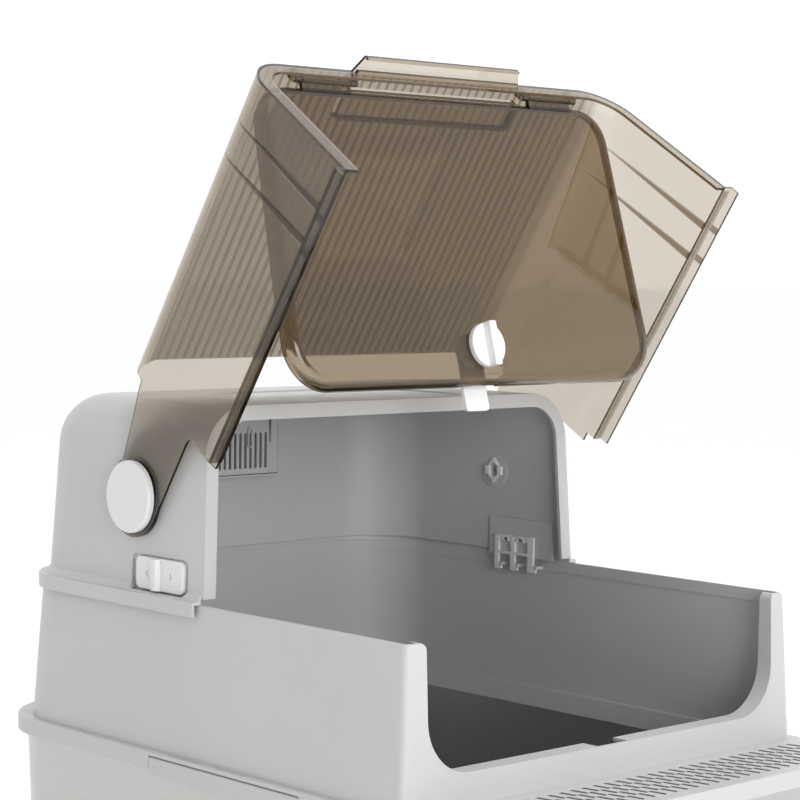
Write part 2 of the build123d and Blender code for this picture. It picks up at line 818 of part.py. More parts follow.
def visor_side_view():
    """Side view: a deep front, and an arm back to the pivot on each side."""
    waist = deck_z + arm_lower
    panel_rear = hood_front - 1
    step = deck_z + 10
    face = outline(
        (visor_front - 1, deck_z - 1),
        (panel_rear, deck_z - 1),
        (panel_rear, step),
        (panel_rear + 8, step),
        (panel_rear + 8, waist),
        (pivot_y, waist),
        (pivot_y - 13, pivot_z + 28),
        (pivot_y - 50, pivot_z + 37),
        (visor_rear - 3, pivot_z + 44),
        (visor_rear, visor_top + 2),
        (visor_front - 1, visor_top + 2),
    )
    notch = face.vertices().filter_by(lambda v: abs(v.Y - waist) < 1 and v.X < pivot_y - 5)
    face = fillet(notch, 6)
    return face + Pos(pivot_y, pivot_z) * Circle(arm_radius)


def visor_pocket():
    """Finger pocket in the top panel: the lowered wall, and the space above it."""
    front = visor_front + pocket_front_margin
    rear = front + pocket_length
    corner_y = door_back_y - hinge_y
    corner_z = -door_top_gap
    angle = radians(door_rest_angle)
    swing = corner_y * sin(angle) + corner_z * cos(angle)
    underside = hinge_z + swing + door_stop_clearance
    wall = panel((-pocket_half_width - visor_wall, front - visor_wall), (pocket_half_width + visor_wall, rear + visor_wall))
    space = panel((-pocket_half_width, front), (pocket_half_width, rear))
    lowered = prism_z(fillet(wall.vertices(), 5), underside, visor_top - visor_wall / 2)
    return lowered, prism_z(fillet(space.vertices(), 3), underside + visor_wall, visor_top + 2)


def visor_handle():
    """Lip in line with the top panel, flared at its root and turned down at its edge."""
    tip = visor_front - handle_reach
    root = visor_front + 1
    base_width = handle_half_width + handle_flare
    face = outline(
        (-handle_half_width, tip), (handle_half_width, tip), (base_width, root), (-base_width, root)
    )
    lip = prism_z(face, visor_top - visor_wall, visor_top)
    lip += block(
        (-handle_half_width, tip, visor_top - handle_lip),
        (handle_half_width, tip + visor_wall, visor_top - visor_wall / 2),
    )
    lip += block(
        (-base_width + 3, visor_front - visor_wall, visor_top - handle_lip - 1),
        (base_width - 3, visor_front + 1, visor_top - visor_wall / 2),
    )
    return fillet(lip.edges().filter_by(Axis.X).sort_by(Axis.Z)[-2:-1], 0.8)


def hinge_ears():
    """Ears under the top panel, one at each end of each door knuckle."""
    y = hinge_y
    face = Pos(y, hinge_z) * Circle(knuckle_diameter / 2)
    face += panel((y - knuckle_diameter / 2, hinge_z), (y + knuckle_diameter / 2, visor_top - visor_wall / 2))
    near = knuckle_inner - hinge_ear_gap
    far = knuckle_outer + hinge_ear_gap
    ears = prism_x(face, near - hinge_ear_width, near) + prism_x(face, far, far + hinge_ear_width)
    return ears


def hinge_pin(diameter):
    reach = hinge_ear_gap + hinge_ear_width
    return rod_x(diameter, knuckle_inner - reach, knuckle_outer + reach, hinge_y, hinge_z)


def side_ribs():
    """Long thin ribs on the right side panel that taper away upwards."""
    skin = prism_y(visor_section(-side_rib_height) - visor_section(0.5), visor_front, hood_front)
    ribs = []
    for margin in side_rib_margins:
        y = visor_front + margin
        half = side_rib_width / 2
        foot = deck_z + visor_seat_gap + 3
        wedge = outline((y - half, foot), (y + half, foot), (y, foot + side_rib_length))
        ribs.append(prism_x(wedge, visor_half_width / 2, visor_half_width + 5) & skin)
    return ribs


def top_ribs():
    """Fine ribs along the top panel, shorter behind the finger pocket."""
    ribs = []
    for index in range(top_rib_count):
        x = (index - (top_rib_count - 1) / 2) * top_rib_pitch
        start = visor_front + 4
        if abs(x) < pocket_half_width + 2 * visor_wall:
            start = visor_front + pocket_front_margin + pocket_length + 2 * visor_wall
        ribs.append(block(
            (x - top_rib_width / 2, start, visor_top - 0.3),
            (x + top_rib_width / 2, visor_rear - 3, visor_top + top_rib_height),
        ))
    return ribs


def visor_foot():
    """Turned-out foot of the right side panel, with a skirt outside the collar's top."""
    low = deck_z + visor_seat_gap
    inner = visor_half_width - visor_wall
    skirt_x = visor_foot_half_width - visor_foot_wall
    face = panel((inner, low), (visor_foot_half_width, low + visor_foot_wall))
    face += panel((skirt_x, low - visor_foot_skirt), (visor_foot_half_width, low + visor_foot_wall))
    return prism_y(face, visor_front, hood_front - 1)


def make_visor():
    shell = prism_y(visor_section(0), visor_front, visor_rear)
    shell -= prism_y(visor_section(visor_wall), visor_front + visor_rim_thickness, visor_rear + 1)
    shell -= prism_y(visor_section(visor_rim_width), visor_front - 1, visor_front + visor_rim_thickness + 1)
    arms = prism_y(visor_section(0) - visor_section(visor_wall), hood_front - 5, pivot_y + arm_radius + 1)
    view = visor_side_view()
    below_top = block(
        (-visor_half_width - 1, hood_front - 5, deck_z),
        (visor_half_width + 1, pivot_y + arm_radius + 1, pivot_z + 45),
    )
    shell += arms & below_top
    shell &= prism_x(view, -visor_half_width - 5, visor_half_width + 5)
    lowered, space = visor_pocket()
    shell = shell + lowered + visor_handle() - space
    shell -= both_sides(rod_x(2 * arm_radius + 1, arm_outer_x - 10, arm_inner_x, pivot_y, pivot_z))
    disc = rod_x(2 * arm_radius, arm_inner_x, arm_outer_x + 0.4, pivot_y, pivot_z)
    seat = rod_x(cap_diameter + 2, arm_inner_x, cap_x, pivot_y, pivot_z)
    shell += both_sides(disc + seat + hinge_ears() + visor_foot())
    shell += [both_sides(rib) for rib in side_ribs()]
    shell += top_ribs()
    bore = rod_x(pivot_diameter, arm_outer_x - 10, cap_x + 1, pivot_y, pivot_z)
    bore += rod_x(pivot_flange_diameter, cap_x - pivot_flange_thickness, cap_x + 1, pivot_y, pivot_z)
    return shell - both_sides(bore + hinge_pin(hinge_pin_diameter))


def make_pivot_pin():
    """Right pivot pin: its flange is let into the arm, and its head snaps inside the hood."""
    boss_inner_x = boss_outer_x - 2 * hood_wall + 0.5
    pin = rod_x(pivot_diameter, boss_inner_x - pivot_head_thickness - 0.2, cap_x, pivot_y, pivot_z)
    pin += rod_x(pivot_flange_diameter, cap_x - pivot_flange_thickness, cap_x, pivot_y, pivot_z)
    head_end = boss_inner_x - 0.2
    head = rod_x(pivot_head_diameter, head_end - pivot_head_thickness, head_end, pivot_y, pivot_z)
    head = fillet(head.faces().sort_by(Axis.X)[0].edges(), 0.8)
    return pin + head


def make_pivot_cap():
    cap = rod_x(cap_diameter, cap_x, cap_x + cap_thickness, pivot_y, pivot_z)
    return fillet(cap.faces().sort_by(Axis.X)[-1].edges(), cap_edge_radius)


# ---------------------------------------------------------------- flap door, drawn closed
def door_face(inset=0.0):
    """Front view of the door: it widens downwards with the visor's sides."""
    def half_width(z):
        return visor_half_width - visor_rim_width - door_side_gap - (z - deck_z) * hood_slope - inset

    top = door_top_z - inset
    bottom = door_top_z - door_height + inset
    face = outline(
        (-half_width(bottom), bottom), (half_width(bottom), bottom), (half_width(top), top), (-half_width(top), top)
    )
    face = fillet(face.vertices().sort_by(Axis.Y)[-2:], door_top_radius - inset)
    return fillet(face.vertices().sort_by(Axis.Y)[:2], door_bottom_radius - inset)


def door_form(inset):
    form = prism_y(door_face(inset), door_face_y + inset, door_back_y + (1 if inset else 0))
    return fillet(form.faces().sort_by(Axis.Y)[0].edges(), door_face_radius - inset)


def make_flap_door():
    door = door_form(0) - door_form(door_wall)
    arm = Pos(hinge_y, hinge_z) * Circle(knuckle_diameter / 2)
    arm += panel((hinge_y - 0.5, door_top_z - 4), (hinge_y + knuckle_diameter / 2, hinge_z))
    knuckle = prism_x(arm, knuckle_inner, knuckle_outer)
    door += both_sides(knuckle)
    bore = rod_x(hinge_pin_diameter + 2 * hinge_clearance, knuckle_inner - 1, knuckle_outer + 1, hinge_y, hinge_z)
    door -= both_sides(bore)
    shaft = spindle_diameter + 2 * spindle_clearance
    door -= rod_y(shaft, door_face_y - 1, door_face_y + door_wall + 1, 0, knob_z)
    bottom = door_top_z - door_height
    notch = tongue_width / 2 + 2
    return door - block(
        (-notch, door_back_y - tongue_notch_depth, bottom - 1),
        (notch, door_back_y + 1, bottom + door_wall + 1),
    )


def make_door_latch_knob():
    """Disc with a finger grip across it, and a spindle through the door."""
    rear = door_face_y - latch_play
    disc = rod_y(knob_diameter, rear - knob_thickness, rear, 0, knob_z)
    disc = fillet(disc.faces().sort_by(Axis.Y)[0].edges(), 1.5)
    grip = block(
        (-knob_grip_width / 2, rear - knob_thickness - knob_grip_height, knob_z - knob_diameter / 2),
        (knob_grip_width / 2, rear - knob_thickness / 2, knob_z + knob_diameter / 2),
    )
    grip = grip & rod_y(knob_diameter, rear - 30, rear, 0, knob_z)
    grip = fillet(grip.faces().sort_by(Axis.Y)[0].edges(), 1.2)
    spindle = rod_y(spindle_diameter, rear - 1, tongue_y, 0, knob_z)
    screw_hole = rod_y(screw_diameter, tongue_y - 12, tongue_y + 1, 0, knob_z)
    return disc + grip + spindle - screw_hole


def make_door_latch_tongue():
    """Hub on the spindle behind the door, with a flat tongue that drops behind the sill."""
    front = door_face_y + door_wall + latch_play
    rear = tongue_y + tongue_thickness
    hub = rod_y(hub_diameter, front, rear, 0, knob_z)
    hub -= rod_y(spindle_diameter + 0.1, front - 1, tongue_y, 0, knob_z)
    blade = panel((-tongue_width / 2, knob_z - tongue_length), (tongue_width / 2, knob_z))
    blade = fillet(blade.vertices().sort_by(Axis.Y)[:2], 3.0)
    tongue = hub + prism_y(blade, tongue_y, rear) - rod_y(spindle_diameter + 0.1, front - 1, tongue_y, 0, knob_z)
    return tongue - rod_y(screw_diameter, tongue_y - 1, rear + 1, 0, knob_z)


def make_knob_screw():
    rear = tongue_y + tongue_thickness
    screw = rod_y(screw_diameter, tongue_y - 10, rear, 0, knob_z)
    return screw + rod_y(screw_head_diameter, rear, rear + screw_head_height, 0, knob_z)


# ---------------------------------------------------------------- place and write
visor_place = turn_x(pivot_y, pivot_z, -visor_open_angle)
door_place = visor_place * turn_x(hinge_y, hinge_z, door_rest_angle)


def write(name, part):
    export_step(part, f"parts/{name}.step")


def write_pair(name, part, drawn, place=Location()):
    """Write the part as drawn on one side and its mirror image on the other."""
    other = "right" if drawn == "left" else "left"
    write(f"{name}_{drawn}", place * part)
    write(f"{name}_{other}", place * mirror(part, about=Plane.YZ))


os.makedirs("parts", exist_ok=True)
write("litter_pan", make_litter_pan())
write("pan_feet", make_pan_feet())
write("lower_collar", make_lower_collar())
write_pair("side_clip", make_side_clip(), "left")
write_pair("clip_pins", make_clip_pins(), "left")
write("rear_hood", make_rear_hood())
write_pair("hood_latch_pad", make_latch_pad(), "right")
write_pair("hood_latch_bracket", make_latch_bracket(), "right")
write("filter_grille", make_filter_grille())
write("filter_pad", make_filter_pad())
write("visor", visor_place * make_visor())
write_pair("pivot_pin", make_pivot_pin(), "right", visor_place)
write_pair("pivot_cap", make_pivot_cap(), "right", visor_place)
write_pair("door_hinge_pin", hinge_pin(hinge_pin_diameter), "right", visor_place)
write("flap_door", door_place * make_flap_door())
write("door_latch_knob", door_place * make_door_latch_knob())
write("door_latch_tongue", door_place * make_door_latch_tongue())
write("knob_screw", door_place * make_knob_screw())
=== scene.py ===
import json
from math import cos, pi, radians, sin

import bmesh
import bpy
from mathutils import Matrix, Vector


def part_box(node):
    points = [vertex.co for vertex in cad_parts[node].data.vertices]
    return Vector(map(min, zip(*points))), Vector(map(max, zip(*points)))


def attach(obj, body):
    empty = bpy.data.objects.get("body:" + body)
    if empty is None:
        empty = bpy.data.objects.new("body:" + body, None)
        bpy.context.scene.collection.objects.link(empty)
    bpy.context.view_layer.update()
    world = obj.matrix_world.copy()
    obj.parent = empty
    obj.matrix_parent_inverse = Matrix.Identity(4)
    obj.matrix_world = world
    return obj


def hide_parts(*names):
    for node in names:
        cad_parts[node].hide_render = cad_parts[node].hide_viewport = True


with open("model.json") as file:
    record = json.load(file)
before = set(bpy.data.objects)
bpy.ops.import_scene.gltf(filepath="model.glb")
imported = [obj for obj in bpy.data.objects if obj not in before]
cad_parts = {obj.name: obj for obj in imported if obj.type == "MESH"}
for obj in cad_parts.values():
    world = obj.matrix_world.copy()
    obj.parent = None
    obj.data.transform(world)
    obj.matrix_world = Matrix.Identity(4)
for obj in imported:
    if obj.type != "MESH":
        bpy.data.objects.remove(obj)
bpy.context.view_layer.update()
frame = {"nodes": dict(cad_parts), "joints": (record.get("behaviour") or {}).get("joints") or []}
NODES = frame["nodes"]
JOINTS = {joint["name"]: joint for joint in frame["joints"]}
SIDES = (("left", -1), ("right", 1))

# ---------------------------------------------------------------- camera
CAMERA_PLACE = Vector((-1.2201, -1.29905, 0.5185))
CAMERA_YAW = radians(42.715)      # clockwise from +Y
CAMERA_PITCH = radians(3.388)     # downward
CAMERA_ROLL = radians(0.691)
SENSOR_MM = 36.0
FOCAL_PX = 2293.0
IMAGE_PX = 800.0


def add_camera():
    """The camera that was fitted to the photo's straight edges."""
    forward = Vector((
        sin(CAMERA_YAW) * cos(CAMERA_PITCH),
        cos(CAMERA_YAW) * cos(CAMERA_PITCH),
        -sin(CAMERA_PITCH),
    ))
    level = Vector((cos(CAMERA_YAW), -sin(CAMERA_YAW), 0))
    upright = level.cross(forward)
    right = cos(CAMERA_ROLL) * level + sin(CAMERA_ROLL) * upright
    up = cos(CAMERA_ROLL) * upright - sin(CAMERA_ROLL) * level
    data = bpy.data.cameras.new("camera")
    data.sensor_width = SENSOR_MM
    data.lens = FOCAL_PX / IMAGE_PX * SENSOR_MM
    camera = bpy.data.objects.new("camera", data)
    rotation = Matrix((right, up, -forward)).transposed().to_4x4()
    camera.matrix_world = Matrix.Translation(CAMERA_PLACE) @ rotation
    bpy.context.scene.collection.objects.link(camera)
    bpy.context.scene.camera = camera


# ---------------------------------------------------------------- colours
GREY = (0.51, 0.51, 0.51)
PALE_GREY = (0.72, 0.72, 0.72)
WHITE = (0.82, 0.82, 0.82)
MARK_GREY = (0.33, 0.33, 0.33)
BLACK = (0.03, 0.03, 0.03)
# Painted shade for the step's slots, on their walls and on the inlays over them
SLOT_PAINTED_SHADE = (0.05, 0.05, 0.05)
PAN_STEEL = (0.5, 0.5, 0.49)
PIN_STEEL = (0.55, 0.55, 0.54)
# The visor's tints paint light and shade: its top panel darker and its sides lighter by which
# way a face lies
VISOR_TOP_SHADED = (0.60, 0.58, 0.55)
# Rib tints: darker stripes of painted shade along the visor's real ribs
VISOR_TOP_RIB_SHADED = (0.34, 0.31, 0.27)
VISOR_SIDE_LIT = (0.99, 0.99, 0.99)
VISOR_SIDE_RIB_SHADED = (0.42, 0.36, 0.30)
DOOR = (0.51, 0.43, 0.33)
SMOKE_DEPTH_COLOR = (0.49, 0.39, 0.22)
SMOKE_DENSITY = 330.0             # per metre

# ---------------------------------------------------------------- where the looks change
# The visor's ribs, drawn as stripes of painted shade, are placed from its pivot, as if it were
# closed.
VISOR_OPEN = radians(-JOINTS["visor_hinge"]["range_deg"][0])
_, PIVOT_Y, PIVOT_Z = JOINTS["visor_hinge"]["pos_m"]
# The top panel's darker tint is painted shade on faces that lie level
TOP_LEVEL_FADE = (0.75, 0.97)     # how level a face is, for the top panel's tint
TAB_REAR = -0.332                 # finger tab's rear end, along Y
TAB_FADE = 0.002
TOP_RIB_PITCH = 0.0086
TOP_RIB_FADE = (0.17, 0.09)       # off a rib's middle, in pitches
SIDE_RIB_PLACES = (-0.297, -0.269)     # along Y
SIDE_RIB_FOOT = -0.0696           # along Z
SIDE_RIB_LENGTH = 0.134
SIDE_RIB_HALF_WIDTH = 0.003       # at its foot
SIDE_RIB_FADE = 0.0005

# The slots in the step, as the CAD has them
STEP_TOP = 0.1547
SLOT_ROWS = 4
SLOT_COUNT = 32                   # in a row
SLOT_PITCH = 0.0115
SLOT_ROW_PITCH = 0.0122
SLOT_FIRST_Y = -0.2675
SLOT_SLANT = radians(10.0)

# The field round them, in which the walls below the step's top get painted shade
FIELD_HALF_WIDTH = 0.19
FIELD_FRONT = -0.2765
FIELD_REAR = -0.209
FIELD_FADE = 0.001
# Painted shade on the slot walls: how far below the step's top it starts and is full
SHADE_DEPTHS = (0.0001, 0.0006)   # below the step's top, where the dark starts and is full

# ---------------------------------------------------------------- nodes
NOISE_RANGE = (0.3, 0.7)          # most of a noise's values lie in it
MIX_FIRST, MIX_SECOND = 6, 7      # the Mix node's colour inputs, which share their names
MIX_RESULT = 2
MATERIALS = {}


def new_material(name):
    """Keep a new material in MATERIALS, as the frame's own may hold its name in Blender."""
    material = bpy.data.materials.new(name)
    material.use_nodes = True
    MATERIALS[name] = material
    return material.node_tree, material.node_tree.nodes["Principled BSDF"]


def noise(tree, scale, detail, stretch=(1, 1, 1)):
    """Noise in the object's own coordinates; stretch above 1 makes it finer that way."""
    place = tree.nodes.new("ShaderNodeTexCoord")
    mapping = tree.nodes.new("ShaderNodeMapping")
    mapping.inputs["Scale"].default_value = stretch
    tree.links.new(place.outputs["Object"], mapping.inputs["Vector"])
    node = tree.nodes.new("ShaderNodeTexNoise")
    node.inputs["Scale"].default_value = scale
    node.inputs["Detail"].default_value = detail
    tree.links.new(mapping.outputs["Vector"], node.inputs["Vector"])
    return node.outputs["Fac"]


def ramp(tree, texture, low, high):
    """From one colour to another over a noise."""
    node = tree.nodes.new("ShaderNodeValToRGB")
    for stop, position, color in zip(node.color_ramp.elements, NOISE_RANGE, (low, high)):
        stop.position = position
        stop.color = (*color, 1)
    tree.links.new(texture, node.inputs["Fac"])
    return node.outputs["Color"]


def scaled(color, factor):
    return tuple(c * factor for c in color)


def spread(tree, texture, color, darkest, lightest):
    """A colour that drifts between two shares of itself."""
    return ramp(tree, texture, scaled(color, darkest), scaled(color, lightest))


def grey_ramp(tree, texture, low, high):
    return ramp(tree, texture, (low,) * 3, (high,) * 3)


def roughen(tree, shader, texture, least, most):
    """Roughness that drifts with a texture."""
    tree.links.new(grey_ramp(tree, texture, least, most), shader.inputs["Roughness"])


def bump(tree, shader, height, strength, distance):
    node = tree.nodes.new("ShaderNodeBump")
    node.inputs["Strength"].default_value = strength
    node.inputs["Distance"].default_value = distance
    tree.links.new(height, node.inputs["Height"])
    tree.links.new(node.outputs["Normal"], shader.inputs["Normal"])


def maths(tree, operation, *values, clamp=False):
    """One sum on sockets and numbers."""
    node = tree.nodes.new("ShaderNodeMath")
    node.operation = operation
    node.use_clamp = clamp
    for place, value in zip(node.inputs, values):
        if isinstance(value, (int, float)):
            place.default_value = value
        else:
            tree.links.new(value, place)
    return node.outputs["Value"]


def axes_of(tree, output):
    """X, Y and Z of a place or a normal in the piece's own frame."""
    place = tree.nodes.new("ShaderNodeTexCoord")
    parts = tree.nodes.new("ShaderNodeSeparateXYZ")
    tree.links.new(place.outputs[output], parts.inputs["Vector"])
    return parts.outputs["X"], parts.outputs["Y"], parts.outputs["Z"]


def share_from(tree, value, low, high):
    """0 at low and 1 at high."""
    slope = 1 / (high - low)
    return maths(tree, "ADD", maths(tree, "MULTIPLY", value, slope), -low * slope, clamp=True)


def mix_colors(tree, share, first, second):
    """The first colour at a share of 0, the second at 1."""
    node = tree.nodes.new("ShaderNodeMix")
    node.data_type = "RGBA"
    tree.links.new(share, node.inputs["Factor"])
    tree.links.new(first, node.inputs[MIX_FIRST])
    tree.links.new(second, node.inputs[MIX_SECOND])
    return node.outputs[MIX_RESULT]


# ---------------------------------------------------------------- plastic, steel and felt
def slot_shade_share(tree):
    """Mask of painted shade: 1 down inside the slots of the step, 0 on its top face."""
    x, y, z = axes_of(tree, "Object")
    start, full = SHADE_DEPTHS
    within = share_from(tree, z, STEP_TOP - start, STEP_TOP - full)
    for value, edge, inner in (
        (maths(tree, "ABSOLUTE", x), FIELD_HALF_WIDTH, FIELD_HALF_WIDTH - FIELD_FADE),
        (y, FIELD_FRONT, FIELD_FRONT + FIELD_FADE),
        (y, FIELD_REAR, FIELD_REAR - FIELD_FADE),
    ):
        within = maths(tree, "MULTIPLY", within, share_from(tree, value, edge, inner))
    return within


def moulded(name, color, rough, grain=900.0, shaded=False):
    """Injection-moulded plastic: a faint drift of tone and a fine spark-eroded grain; if shaded,
    painted shade down inside the step's slots.
    """
    tree, shader = new_material(name)
    flow = noise(tree, scale=6.0, detail=3.0)
    tone = spread(tree, flow, color, darkest=0.965, lightest=1.02)
    if shaded:
        # painted shade on the slot walls, where their shadow falls
        deep = spread(tree, flow, SLOT_PAINTED_SHADE, darkest=1.0, lightest=1.2)
        tone = mix_colors(tree, slot_shade_share(tree), tone, deep)
    tree.links.new(tone, shader.inputs["Base Color"])
    roughen(tree, shader, noise(tree, scale=45.0, detail=4.0), rough - 0.04, rough + 0.05)
    bump(tree, shader, noise(tree, scale=grain, detail=2.0), strength=0.25, distance=0.00004)


def steel(name, color, rough, stretch, scratch):
    """Satin steel with fine lines drawn along one way."""
    tree, shader = new_material(name)
    lines = noise(tree, scale=scratch, detail=6.0, stretch=stretch)
    tone = spread(tree, lines, color, darkest=0.88, lightest=1.06)
    tree.links.new(tone, shader.inputs["Base Color"])
    shader.inputs["Metallic"].default_value = 1.0
    roughen(tree, shader, lines, rough - 0.05, rough + 0.09)
    bump(tree, shader, lines, strength=0.12, distance=0.00005)


def felt(name, color):
    """Coarse fibres, mottled and dull."""
    tree, shader = new_material(name)
    fibre = noise(tree, scale=700.0, detail=8.0)
    tone = spread(tree, fibre, color, darkest=0.5, lightest=1.5)
    tree.links.new(tone, shader.inputs["Base Color"])
    shader.inputs["Roughness"].default_value = 0.95
    bump(tree, shader, fibre, strength=0.8, distance=0.0006)


# ---------------------------------------------------------------- clear smoke plastic
def turned(tree, y, z):
    """Y and Z turned from the visor as stored to the visor as closed."""
    s, c = sin(VISOR_OPEN), cos(VISOR_OPEN)
    closed_y = maths(
        tree, "SUBTRACT", maths(tree, "MULTIPLY", y, c), maths(tree, "MULTIPLY", z, s)
    )
    closed_z = maths(tree, "ADD", maths(tree, "MULTIPLY", y, s), maths(tree, "MULTIPLY", z, c))
    return closed_y, closed_z


def closed_place(tree):
    """Y and Z from the pivot, with the visor turned closed."""
    _, y, z = axes_of(tree, "Object")
    from_pivot = maths(tree, "SUBTRACT", y, PIVOT_Y), maths(tree, "SUBTRACT", z, PIVOT_Z)
    return turned(tree, *from_pivot)


def top_shade_share(tree):
    """Mask of painted shade: 1 on the visor's top panel, 0 on its sides, lips and finger tab."""
    _, y, z = axes_of(tree, "Normal")
    _, closed_z = turned(tree, y, z)
    level = share_from(tree, maths(tree, "ABSOLUTE", closed_z), *TOP_LEVEL_FADE)
    back, _ = closed_place(tree)
    behind_tab = share_from(tree, back, TAB_REAR, TAB_REAR + TAB_FADE)
    return maths(tree, "MULTIPLY", level, behind_tab)


def top_rib_shade_share(tree):
    """Mask of painted shade: 1 on the fine ribs of the visor's top panel."""
    x, _, _ = axes_of(tree, "Object")
    step = maths(tree, "FRACT", maths(tree, "MULTIPLY", x, 1 / TOP_RIB_PITCH))
    off = maths(tree, "ABSOLUTE", maths(tree, "SUBTRACT", step, 0.5))
    return share_from(tree, off, *TOP_RIB_FADE)


def side_rib_shade_share(tree):
    """Mask of painted shade: 1 on the long tapering ribs of the visor's side panels."""
    closed_y, closed_z = closed_place(tree)
    rise = share_from(tree, closed_z, SIDE_RIB_FOOT, SIDE_RIB_FOOT + SIDE_RIB_LENGTH)
    half = maths(tree, "MULTIPLY", maths(tree, "SUBTRACT", 1.0, rise), SIDE_RIB_HALF_WIDTH)
    shares = []
    for middle in SIDE_RIB_PLACES:
        off = maths(tree, "ABSOLUTE", maths(tree, "SUBTRACT", closed_y, middle))
        shares.append(share_from(tree, maths(tree, "SUBTRACT", half, off), 0.0, SIDE_RIB_FADE))
    return maths(tree, "MAXIMUM", *shares)


def flow_tint(tree, color):
    """A tint with the faint drift of a moulding's flow."""
    return spread(tree, noise(tree, scale=4.0, detail=2.0), color, darkest=0.98, lightest=1.0)


def rib_shaded_tint(tree, share, color, rib_color):
    # the rib colour is painted shade along the ribs
    return mix_colors(tree, share, flow_tint(tree, color), flow_tint(tree, rib_color))


def visor_lit_and_shaded_tint(tree):
    """The visor's tint with painted light and shade: darker on its top panel and along its ribs,
    lighter on its sides.
    """
    top = rib_shaded_tint(tree, top_rib_shade_share(tree), VISOR_TOP_SHADED, VISOR_TOP_RIB_SHADED)
    side = rib_shaded_tint(tree, side_rib_shade_share(tree), VISOR_SIDE_LIT, VISOR_SIDE_RIB_SHADED)
    return mix_colors(tree, top_shade_share(tree), side, top)


def door_tint(tree):
    return flow_tint(tree, DOOR)


def clear_smoke(name, tint, rough=0.02):
    """Clear smoke plastic: its depth darkens it, so its edges and ribs show."""
    tree, shader = new_material(name)
    tree.links.new(tint(tree), shader.inputs["Base Color"])
    shader.inputs["Transmission Weight"].default_value = 1.0
    shader.inputs["IOR"].default_value = 1.46
    roughen(tree, shader, noise(tree, scale=30.0, detail=3.0), rough, rough + 0.03)
    bump(tree, shader, noise(tree, scale=9.0, detail=1.0), strength=0.1, distance=0.0004)
    depth = tree.nodes.new("ShaderNodeVolumeAbsorption")
    depth.inputs["Color"].default_value = (*SMOKE_DEPTH_COLOR, 1)
    depth.inputs["Density"].default_value = SMOKE_DENSITY
    tree.links.new(depth.outputs["Volume"], tree.nodes["Material Output"].inputs["Volume"])


# ---------------------------------------------------------------- which node wears what
def add_materials():
    moulded("grey_plastic", GREY, rough=0.42)
    # the collar's grey, with painted shade down inside the step's slots
    moulded("collar_plastic_slot_shade", GREY, rough=0.42, shaded=True)
    moulded("pale_plastic", PALE_GREY, rough=0.38)
    moulded("white_plastic", WHITE, rough=0.33)
    # the visor's smoke, with painted light and shade in its tint
    clear_smoke("visor_smoke_shaded", visor_lit_and_shaded_tint)
    clear_smoke("door_smoke", door_tint)
    steel("pan_steel", PAN_STEEL, rough=0.3, stretch=(1, 1, 14), scratch=420.0)
    steel("pin_steel", PIN_STEEL, rough=0.3, stretch=(8, 1, 1), scratch=900.0)
    moulded("foot_rubber", BLACK, rough=0.75, grain=500.0)
    # dark inlays over the slots: painted shade
    moulded("painted_slot_shade", SLOT_PAINTED_SHADE, rough=0.7)
    moulded("mark_grey", MARK_GREY, rough=0.5)
    felt("filter_felt", BLACK)


def both(name):
    return [name + "_" + side for side, _ in SIDES]


FINISHES = {
    "collar_plastic_slot_shade": ["lower_collar"],
    "grey_plastic": ["rear_hood", "filter_grille", *both("side_clip")],
    "pale_plastic": [*both("hood_latch_bracket"), *both("hood_latch_pad"), *both("pivot_cap")],
    "white_plastic": ["door_latch_knob", "door_latch_tongue"],
    "visor_smoke_shaded": ["visor"],
    "door_smoke": ["flap_door"],
    "pan_steel": ["litter_pan"],
    "pin_steel": ["knob_screw", *both("clip_pins"), *both("door_hinge_pin")],
    "foot_rubber": ["pan_feet"],
    "filter_felt": ["filter_pad"],
}


def finish_nodes():
    for material, names in FINISHES.items():
        for name in names:
            mesh = NODES[name].data
            mesh.materials.clear()
            mesh.materials.append(MATERIALS[material])


# ---------------------------------------------------------------- new pieces
def finished(name, mesh, material, body, edge):
    """A piece from a new mesh, with its edges a little rounded, that rides its body."""
    bmesh.ops.recalc_face_normals(mesh, faces=mesh.faces)
    data = bpy.data.meshes.new(name)
    mesh.to_mesh(data)
    mesh.free()
    data.materials.append(MATERIALS[material])
    piece = bpy.data.objects.new(name, data)
    bpy.context.scene.collection.objects.link(piece)
    bevel = piece.modifiers.new("edge", "BEVEL")
    bevel.width = edge
    bevel.segments = 2
    bevel.limit_method = "ANGLE"
    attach(piece, body)
    return piece


def join_loops(mesh, one, other):
    """Faces between two closed loops of as many points."""
    for index in range(len(one)):
        after = (index + 1) % len(one)
        mesh.faces.new((one[index], one[after], other[after], other[index]))


def add_solid(mesh, near, far):
    """A solid between two outlines of as many points."""
    ends = [[mesh.verts.new(point) for point in outline] for outline in (near, far)]
    mesh.faces.new(ends[0])
    mesh.faces.new(ends[1])
    join_loops(mesh, *ends)


def add_prism(mesh, outline, near, far):
    """A prism along X from an outline in Y and Z."""
    add_solid(mesh, *([(x, y, z) for y, z in outline] for x in (near, far)))


# ---------------------------------------------------------------- snap pivots
# X is the right pin's, and an outline's Y and Z are from the pivot.
PIN_HEAD_X = 0.1869
PIN_TUBE_X = (0.1891, 0.198)
PIN_RADII = (0.0052, 0.007)
PIN_STEPS = 40
PIN_EDGE = 0.0002
PIN_OVERLAP = 0.0002              # of the head into the tube
SNAP_POINT = (
    (-0.006, 0.005), (0, 0.0108), (0.006, 0.005),
    (0.0046, 0.0038), (0, 0.0072), (-0.0046, 0.0038),
)
SNAP_BLOCK = ((0.0048, -0.0037), (0.0096, -0.0037), (0.0096, 0.0037), (0.0048, 0.0037))


